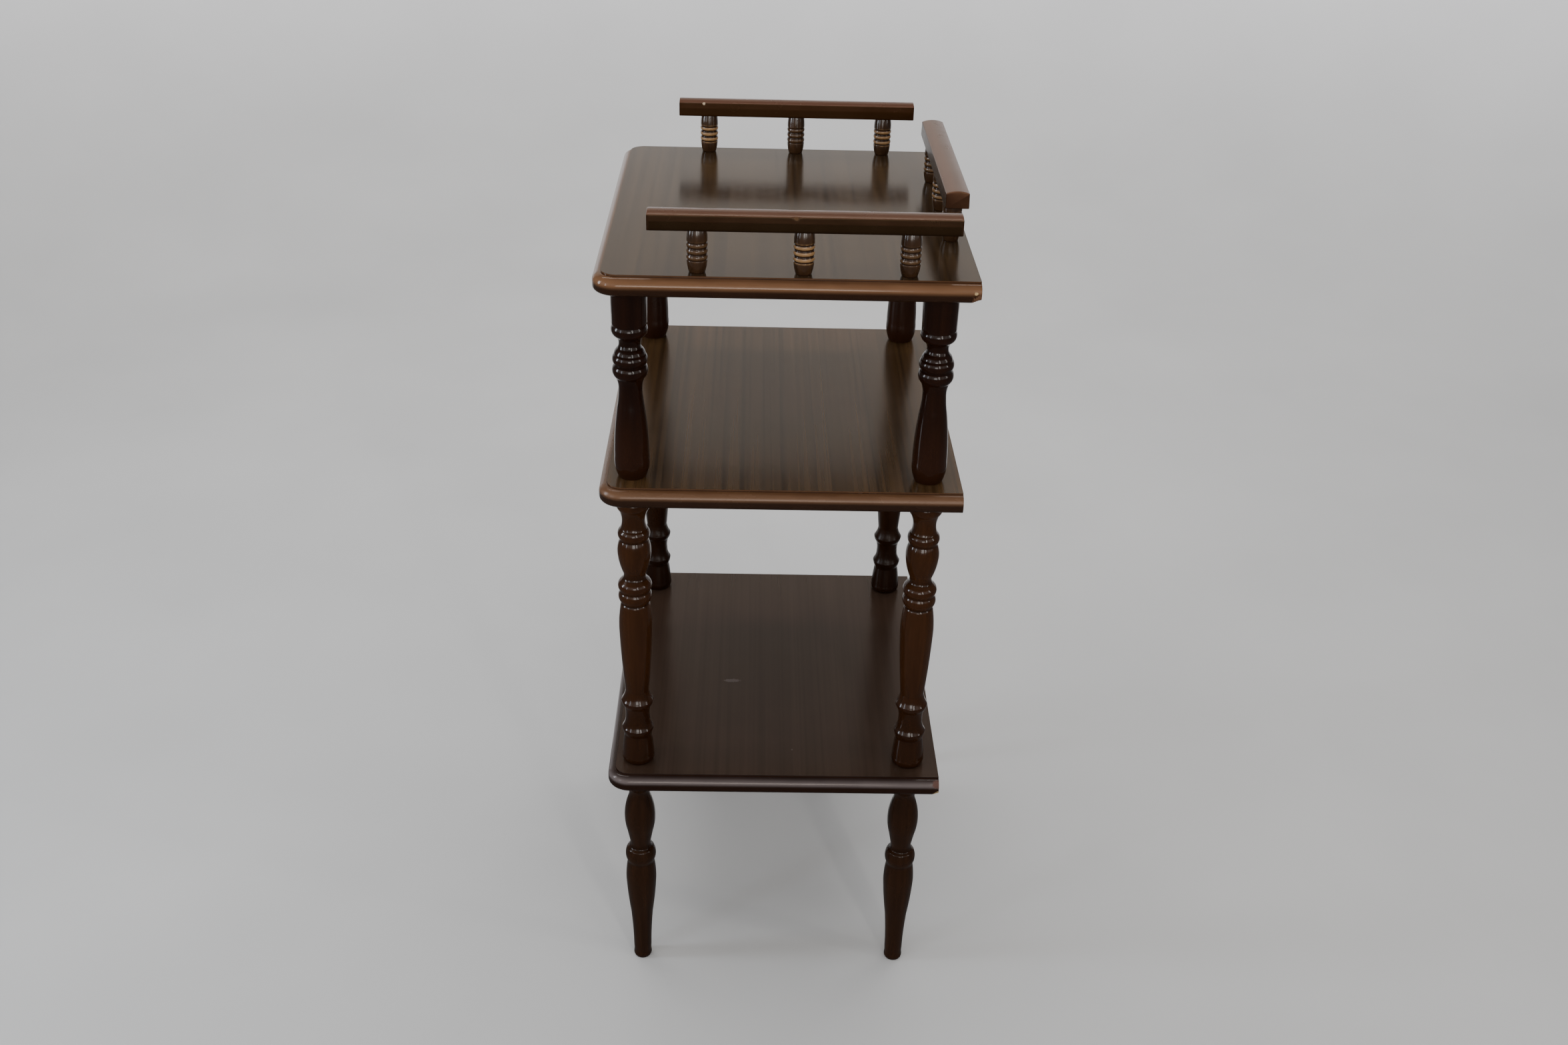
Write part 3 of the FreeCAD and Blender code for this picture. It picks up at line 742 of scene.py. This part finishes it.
ZINC_DARK = rgb(0.34, 0.34, 0.36)
ZINC_LIGHT = rgb(0.55, 0.55, 0.57)
ZINC_SPREAD = 0.2
ZINC_CRYSTALS = (700.0, 3.0, 0.6)
ZINC_HAZE = (120.0, 3.0, 0.6)
ZINC_DULLNESS = (0.28, 0.5)
DRAWN_LINES = (2500.0, 2.0)
DRAWN_STRETCH = (1.0, 1.0, 0.05)
DRAWN_BUMP = (0.03 * MM, 0.4)


def zinc_steel():
    """The dowel screws' finish: bright zinc over steel, mottled by crystals and dulled in patches."""
    finish = Finish("dowel_screw_zinc")
    colour = finish.ramp(finish.noise(finish.place, *ZINC_CRYSTALS), ZINC_SPREAD, ZINC_DARK, ZINC_LIGHT)
    dull = finish.span(finish.noise(finish.place, *ZINC_HAZE), *ZINC_DULLNESS)
    drawn = finish.noise(finish.scaled(finish.place, DRAWN_STRETCH), *DRAWN_LINES)
    finish.surface(Base_Color=colour, Metallic=1.0, Roughness=dull, Normal=finish.bump(drawn, *DRAWN_BUMP))
    return finish.material


# The shelves of the etagere

TOP_LOW, TOP_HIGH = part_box("top_shelf")
BOTTOM_LOW, BOTTOM_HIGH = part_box("bottom_shelf")
BARE_BROWN = rgb(0.13, 0.06, 0.03)
BARE_GOLD = rgb(0.50, 0.36, 0.18)
BARE_PINK = rgb(0.11, 0.055, 0.045)
SCUFF_GREY = rgb(0.22, 0.19, 0.19)
EDGE_DARK = rgb(0.055, 0.025, 0.0115)
EDGE_LIGHT = rgb(0.088, 0.043, 0.021)

# Each chip is a place, a reach, a depth and the colour of its bare wood.
top_corner = np.array([TOP_HIGH[X], TOP_HIGH[Y], TOP_LOW[Z]])
bottom_corner = np.array([BOTTOM_HIGH[X], BOTTOM_HIGH[Y], BOTTOM_LOW[Z]])
SHELF_CHIPS = {
    "top_shelf": [
        (top_corner + (-3 * MM, 0, 0), 9 * MM, 2.6 * MM, BARE_BROWN),
        (top_corner + (0, -4.5 * MM, 8.5 * MM), 1.5 * MM, 0.3 * MM, BARE_GOLD),
    ],
    "middle_shelf": [],
    "bottom_shelf": [
        (bottom_corner + (-2 * MM, 0, 0), 6 * MM, 2.2 * MM, BARE_GOLD),
        (bottom_corner + (-2 * MM, -2 * MM, 11.5 * MM), 4.5 * MM, 0.3 * MM, BARE_PINK),
    ],
}
# Each scuff is a place, a reach, a stretch along each axis and a colour.
SHELF_SCUFFS = {
    "top_shelf": [],
    "middle_shelf": [],
    "bottom_shelf": [
        (np.array([28.6 * MM, -39.7 * MM, BOTTOM_HIGH[Z]]), 3 * MM, (1.0, 3.0, 1.0), SCUFF_GREY),
        (np.array([141.0 * MM, 17.6 * MM, BOTTOM_HIGH[Z]]), 0.8 * MM, (1.6, 1.0, 1.0), SCUFF_GREY),
    ],
}
# How much of the painted shade on each shelf's lower edge is already there at the widest line.
SHADE_START_SHARES = {"top_shelf": 0.2, "middle_shelf": 0.6, "bottom_shelf": 0.6}
# Each shelf's crest colour is rubbed wear and a painted highlight on its moulding; the bottom shelf's is a
# pale grey highlight.
SHELF_VENEERS = {
    "top_shelf": {
        "dark": rgb(0.016, 0.0088, 0.0042),
        "light": rgb(0.046, 0.026, 0.0115),
        "edge_dark": EDGE_DARK,
        "edge_light": EDGE_LIGHT,
        "crest": rgb(0.15, 0.075, 0.038),
        "dullness": 0.15,
        "edge_dullness": 0.11,
        "sheen": 0.3,
    },
    "middle_shelf": {
        "dark": rgb(0.024, 0.0125, 0.0052),
        "light": rgb(0.087, 0.0465, 0.0188),
        "edge_dark": EDGE_DARK,
        "edge_light": EDGE_LIGHT,
        "crest": rgb(0.115, 0.060, 0.033),
        "dullness": 0.19,
        "edge_dullness": 0.26,
        "sheen": 0.3,
    },
    "bottom_shelf": {
        "dark": rgb(0.025, 0.0145, 0.0096),
        "light": rgb(0.034, 0.0200, 0.0138),
        "edge_dark": rgb(0.012, 0.007, 0.0056),
        "edge_light": rgb(0.020, 0.012, 0.010),
        "crest": rgb(0.130, 0.108, 0.106),
        "dullness": 0.2,
        "edge_dullness": 0.13,
        "sheen": 0.2,
    },
}
for shelf, colours in SHELF_VENEERS.items():
    shelf_chips = SHELF_CHIPS[shelf]
    shelf_veneer = veneer(f"{shelf}_veneer", **colours, chips=shelf_chips, scuffs=SHELF_SCUFFS[shelf])
    moulded_board(shelf, shelf_veneer, shelf_chips, SHADE_START_SHARES[shelf])

# The posts and legs

ESPRESSO = rgb(0.005, 0.0016, 0.0006)
POST_STAINS = {
    "upper_post": {
        "dark": rgb(0.0075, 0.0024, 0.0011),
        "light": rgb(0.015, 0.005, 0.0021),
        "crest": rgb(0.015, 0.005, 0.003),
        "dullness": 0.12,
        "sheen": 0.28,
        "foot": (rgb(0.022, 0.0078, 0.0036), 0.55),
    },
    "lower_post": {
        "dark": rgb(0.022, 0.0080, 0.0026),
        "light": rgb(0.039, 0.0142, 0.0046),
        "crest": rgb(0.022, 0.007, 0.003),
        "dullness": 0.12,
        "sheen": 0.30,
        "foot": (ESPRESSO, 0.5),
    },
    "leg": {
        "dark": rgb(0.013, 0.0053, 0.0022),
        "light": rgb(0.025, 0.0100, 0.0040),
        "crest": rgb(0.014, 0.005, 0.002),
        "dullness": 0.14,
        "sheen": 0.25,
    },
}
# Painted shade: the left lower posts and legs get a deepened copy of their stain; the left upper posts keep
# their colour.
LEFT_SHADE_SHARES = {"upper_post": 1.0, "lower_post": 0.5, "leg": 0.8}
LEFT_SHEEN_SHARE = 0.4
LEFT_DULLING = 0.15


def left_shaded_stain(kind, stain):
    """The same stain on the left side, deepened as painted shade, duller and with less sheen."""
    depth = LEFT_SHADE_SHARES[kind]
    changed = {tone: deepened(stain[tone], depth) for tone in ("dark", "light", "crest")}
    changed["dullness"] = stain["dullness"] + LEFT_DULLING
    changed["sheen"] = stain["sheen"] * LEFT_SHEEN_SHARE
    return stain | changed


for kind, stain in POST_STAINS.items():
    for side in SIDES:
        # On the left side the stain is a copy deepened as painted shade.
        side_stain = left_shaded_stain(kind, stain) if side == "left" else stain
        post_stain = turned_stain(f"{kind}_{side}_stain", hollow=ESPRESSO, **side_stain)
        for end in ENDS:
            turning(f"{kind}_{end}_{side}", f"{kind}_wood", post_stain, **POST_LATHE)

# The gallery

# How much of each spindle's beads is worn through, from the first spindle to the third.
SPINDLE_RUB_SHARES = {
    "left": (1.0, 0.1, 0.75),
    "right": (0.12, 0.9, 0.15),
    "back": (0.3, 0.6, 0.4),
}
spindle_stain = turned_stain(
    "spindle_stain",
    hollow=rgb(0.014, 0.006, 0.003),
    dark=rgb(0.022, 0.0105, 0.005),
    light=rgb(0.042, 0.021, 0.010),
    crest=rgb(0.046, 0.022, 0.011),
    dullness=0.15,
    sheen=0.4,
    bare_wood=rgb(0.30, 0.17, 0.07),
)
for side, rub_shares in SPINDLE_RUB_SHARES.items():
    for number, rub_share in enumerate(rub_shares, start=1):
        spindle = f"gallery_spindle_{side}_{number}"
        turning(spindle, "spindle_wood", spindle_stain, **SPINDLE_LATHE, rubbed=rub_share)

ARRIS_DROP = 2.2 * MM
right_rail_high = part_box("gallery_rail_right")[1]
left_rail_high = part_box("gallery_rail_left")[1]
right_rail_chip = np.array([right_rail_high[X], 6.5 * MM, right_rail_high[Z] - ARRIS_DROP])
left_rail_chip = np.array([left_rail_high[X], -73.7 * MM, left_rail_high[Z] - ARRIS_DROP])
GALLERY_RAILS = {
    "left": {
        "lengthwise": Y,
        "dark": rgb(0.0125, 0.0042, 0.0010),
        "light": rgb(0.0200, 0.0070, 0.0017),
        "sheen": 0.13,
        "chips": [(left_rail_chip, 1.6 * MM, 0.7 * MM, rgb(0.42, 0.33, 0.23))],
    },
    "right": {
        "lengthwise": Y,
        "dark": rgb(0.0055, 0.0022, 0.0008),
        "light": rgb(0.0085, 0.0034, 0.0013),
        "sheen": 0.27,
        "chips": [(right_rail_chip, 2.0 * MM, 0.7 * MM, rgb(0.06, 0.03, 0.015))],
    },
    "back": {
        "lengthwise": X,
        "dark": rgb(0.007, 0.003, 0.0011),
        "light": rgb(0.012, 0.005, 0.002),
        "sheen": 0.3,
        "chips": [],
    },
}
for side, rail in GALLERY_RAILS.items():
    rail_stain = rail_finish(f"{side}_rail_stain", **rail)
    gallery_rail(f"gallery_rail_{side}", rail_stain, rail["lengthwise"], rail["chips"])

# The dowel screws

zinc = zinc_steel()
for shelf in SHELF_VENEERS:
    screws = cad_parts[f"{shelf}_dowel_screws"]
    screws.material_slots[0].material = zinc

# Floor and wall

FLOOR_RADIUS = 3.2
COVE_RADIUS = 1.4
WALL_HEIGHT = 3.0
FLOOR_STEPS = 12
COVE_STEPS = 24
SWEEP_STEP = 2.5
MIRRORED_FROM, MIRRORED_TO = 130, 230
FULL_TURN = 360
PAINT_MOTTLE = (3.0, 3.0)
PAINT_SPREAD = 0.2
FLOOR_DARK = rgb(0.43, 0.43, 0.43)
FLOOR_LIGHT = rgb(0.46, 0.46, 0.46)
WALL_DARK = rgb(0.74, 0.74, 0.76)
WALL_LIGHT = rgb(0.78, 0.78, 0.80)
UPPER_WALL = rgb(0.44, 0.405, 0.365)
WALL_RISE = (0.02, 0.9)
UPPER_WALL_RISE = (1.0, 1.7)
PAINT_DULLNESS = 0.85


def studio_paint():
    """The stage's finish: pale paint with a faint unevenness, a little deeper high on the wall."""
    finish = Finish("studio_paint")
    mottle = finish.noise(finish.place, *PAINT_MOTTLE)
    floor_tone = finish.ramp(mottle, PAINT_SPREAD, FLOOR_DARK, FLOOR_LIGHT)
    wall_tone = finish.ramp(mottle, PAINT_SPREAD, WALL_DARK, WALL_LIGHT)
    level = finish.add("ShaderNodeSeparateXYZ", {"Vector": finish.place}).outputs["Z"]
    colour = finish.blend(finish.ease(level, *WALL_RISE), floor_tone, wall_tone)
    colour = finish.blend(finish.ease(level, *UPPER_WALL_RISE), colour, UPPER_WALL)
    finish.surface(Base_Color=colour, Roughness=PAINT_DULLNESS)
    return finish.material


def studio_sweep(name, paint, start, end, mirrored):
    """A pale floor that curves up into a round wall: a section carried round part of a turn, in degrees.

    Only a mirrored part shows in the varnish.
    """
    flat_radius = FLOOR_RADIUS - COVE_RADIUS
    bend = np.linspace(0, np.pi / 2, COVE_STEPS)
    flat = np.linspace(0, flat_radius, FLOOR_STEPS)[:-1]
    radius = np.concatenate([flat, flat_radius + COVE_RADIUS * np.sin(bend), [FLOOR_RADIUS]])
    level = np.concatenate([np.zeros(len(flat)), COVE_RADIUS * (1 - np.cos(bend)), [WALL_HEIGHT]])
    turn = np.radians(np.linspace(start, end, int((end - start) / SWEEP_STEP) + 1))
    x = radius[:, None] * np.cos(turn)
    y = radius[:, None] * np.sin(turn)
    z = np.broadcast_to(level[:, None], x.shape)
    points = np.stack([x, y, z], axis=-1).reshape(-1, 3)
    faces = grid_quads(len(radius), len(turn), closed=False)[:, ::-1].tolist()
    mesh = bpy.data.meshes.new(name)
    mesh.from_pydata(points.tolist(), [], faces)
    mesh.polygons.foreach_set("use_smooth", np.ones(len(mesh.polygons), dtype=bool))
    mesh.materials.append(paint)
    sweep = bpy.data.objects.new(name, mesh)
    sweep.visible_glossy = mirrored
    bpy.context.scene.collection.objects.link(sweep)


# Light

WHITE = (1.0, 1.0, 1.0)
WARM = (1.0, 0.97, 0.93)
COOL = (0.82, 0.90, 1.0)
SURROUND = rgb(0.96, 0.96, 0.97)
SURROUND_STRENGTH = 0.12
# Place, target, width, length and power.
CEILING = ((0.3, 0.0, 2.9), (0.0, 0.0, 0.0), 2.6, 2.6, 55.0)
WALL_WASH = ((-1.1, 0.0, 2.9), (-3.2, 0.0, 0.8), 3.2, 0.6, 85.0)
# A strip is its azimuth in degrees from +X towards +Y, lower and upper edge, width, radiance and colour.
# The panels of the band share all of these but the azimuth.
STRIP_DISTANCE = 2.0
BAND_AZIMUTHS = range(-80, 61, 20)
BAND = (0.6, 1.9, 0.6, 1.0, WARM)
STRIPS = {
    "camera_panel": (-2, 0.6, 1.15, 0.6, 7.0, WARM),
    "left_strip": (-82, 0.5, 1.5, 0.28, 19.0, COOL),
    "front_strip": (-50, 0.5, 1.4, 0.14, 11.0, COOL),
    "right_strip": (18, 0.65, 2.0, 0.08, 26.0, WARM),
    "back_strip": (66, 0.7, 1.7, 0.10, 14.0, WARM),
}


def area_light(name, place, target, width, length, power, colour):
    """A rectangular soft light at a place, facing a target."""
    lamp = bpy.data.lights.new(name, "AREA")
    lamp.shape = "RECTANGLE"
    lamp.size = width
    lamp.size_y = length
    lamp.energy = power
    lamp.color = colour
    holder = bpy.data.objects.new(name, lamp)
    bpy.context.scene.collection.objects.link(holder)
    way = np.array(target) - np.array(place)
    way = way / np.linalg.norm(way)
    side = np.cross(way, [0.0, 0.0, 1.0])
    side /= np.linalg.norm(side)
    over = np.cross(side, way)
    columns = np.stack([side, over, -way, place], axis=1)
    holder.matrix_world = Matrix(np.vstack([columns, [0, 0, 0, 1]]).tolist())
    return holder


def standing_strip(name, azimuth, low, high, width, radiance, colour):
    """A tall light that faces the etagere."""
    middle = (low + high) / 2
    turn = math.radians(azimuth)
    place = (STRIP_DISTANCE * math.cos(turn), STRIP_DISTANCE * math.sin(turn), middle)
    power = radiance * math.pi * width * (high - low)
    area_light(name, place, (0.0, 0.0, middle), width, high - low, power, colour)


def studio_light():
    """A wide soft ceiling, a band of dim panels, tall strips round the camera's side and a washed wall."""
    ceiling = area_light("ceiling", *CEILING, WHITE)
    ceiling.visible_glossy = False
    for number, azimuth in enumerate(BAND_AZIMUTHS, start=1):
        standing_strip(f"band_{number}", azimuth, *BAND)
    for name, strip in STRIPS.items():
        standing_strip(name, *strip)
    area_light("wall_wash", *WALL_WASH, WHITE)
    world = bpy.data.worlds.new("studio_surround")
    world.use_nodes = True
    background = world.node_tree.nodes["Background"]
    background.inputs["Color"].default_value = SURROUND
    background.inputs["Strength"].default_value = SURROUND_STRENGTH
    bpy.context.scene.world = world


# Camera

CAMERA_PLACE = (1.35748, -0.02695, 1.13735)
CAMERA_PITCH = math.radians(28.4845)
CAMERA_YAW = math.radians(1.4718)
CAMERA_ROLL = math.radians(1.6075)
CAMERA_LENS = 37.186
SENSOR_WIDTH = 36.0


def photo_camera():
    """The camera at the photograph's viewpoint: along -X, pitched down, with a little yaw and roll."""
    ahead = np.array([-math.cos(CAMERA_YAW) * math.cos(CAMERA_PITCH),
                      math.sin(CAMERA_YAW) * math.cos(CAMERA_PITCH),
                      -math.sin(CAMERA_PITCH)])
    level = np.array([math.sin(CAMERA_YAW), math.cos(CAMERA_YAW), 0.0])
    upright = np.cross(level, ahead)
    right = math.cos(CAMERA_ROLL) * level + math.sin(CAMERA_ROLL) * upright
    up = math.cos(CAMERA_ROLL) * upright - math.sin(CAMERA_ROLL) * level
    camera = bpy.data.cameras.new("photo_camera")
    camera.sensor_width = SENSOR_WIDTH
    camera.lens = CAMERA_LENS
    holder = bpy.data.objects.new("photo_camera", camera)
    bpy.context.scene.collection.objects.link(holder)
    columns = np.stack([right, up, -ahead, CAMERA_PLACE], axis=1)
    holder.matrix_world = Matrix(np.vstack([columns, [0, 0, 0, 1]]).tolist())
    bpy.context.scene.camera = holder


paint = studio_paint()
studio_sweep("studio_behind", paint, MIRRORED_FROM, MIRRORED_TO, mirrored=True)
studio_sweep("studio_around", paint, MIRRORED_TO, MIRRORED_FROM + FULL_TURN, mirrored=False)
studio_light()
photo_camera()
